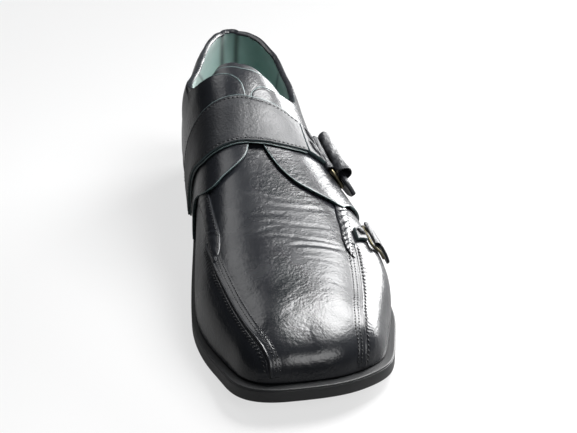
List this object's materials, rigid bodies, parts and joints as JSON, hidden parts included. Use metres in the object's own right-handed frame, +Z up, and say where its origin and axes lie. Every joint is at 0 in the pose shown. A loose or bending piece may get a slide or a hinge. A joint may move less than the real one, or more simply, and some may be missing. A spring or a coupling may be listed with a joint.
{
  "type": "monk strap shoe",
  "caption": "Black leather monk strap shoe with a square toe, a buckled instep strap, a small buckle beside the ball and a low heel.",
  "frame": {"origin": "on the floor, under the middle of the shoe's box", "axes": "+Z up, toe towards -Y, outer side of the foot towards +X"},
  "size_m": [0.1096, 0.3067, 0.1019],
  "materials": {
    "black_leather": "smooth black leather with a soft shine",
    "sole_rubber": "black, satin edge",
    "lining": "matt grey green lining",
    "buckle_brass": "aged brass"
  },
  "bodies": {
    "root": {"outsole": "sole_rubber", "welt": "sole_rubber", "heel_block": "sole_rubber", "heel_top_piece": "sole_rubber", "insole": "lining", "upper": "black_leather", "tongue": "black_leather", "quarter_medial": "black_leather", "quarter_lateral": "black_leather", "seam_medial": "black_leather", "seam_lateral": "black_leather", "tab_medial": "black_leather", "tab_lateral": "black_leather", "collar_piping": "black_leather", "strap_main": "black_leather", "strap_plate": "black_leather", "bar_main": "black_leather", "ring_main": "buckle_brass", "tail_main": "black_leather", "strap_small": "black_leather", "bar_small": "black_leather", "ring_small": "buckle_brass", "tail_small": "black_leather"}
  },
  "joints": []
}
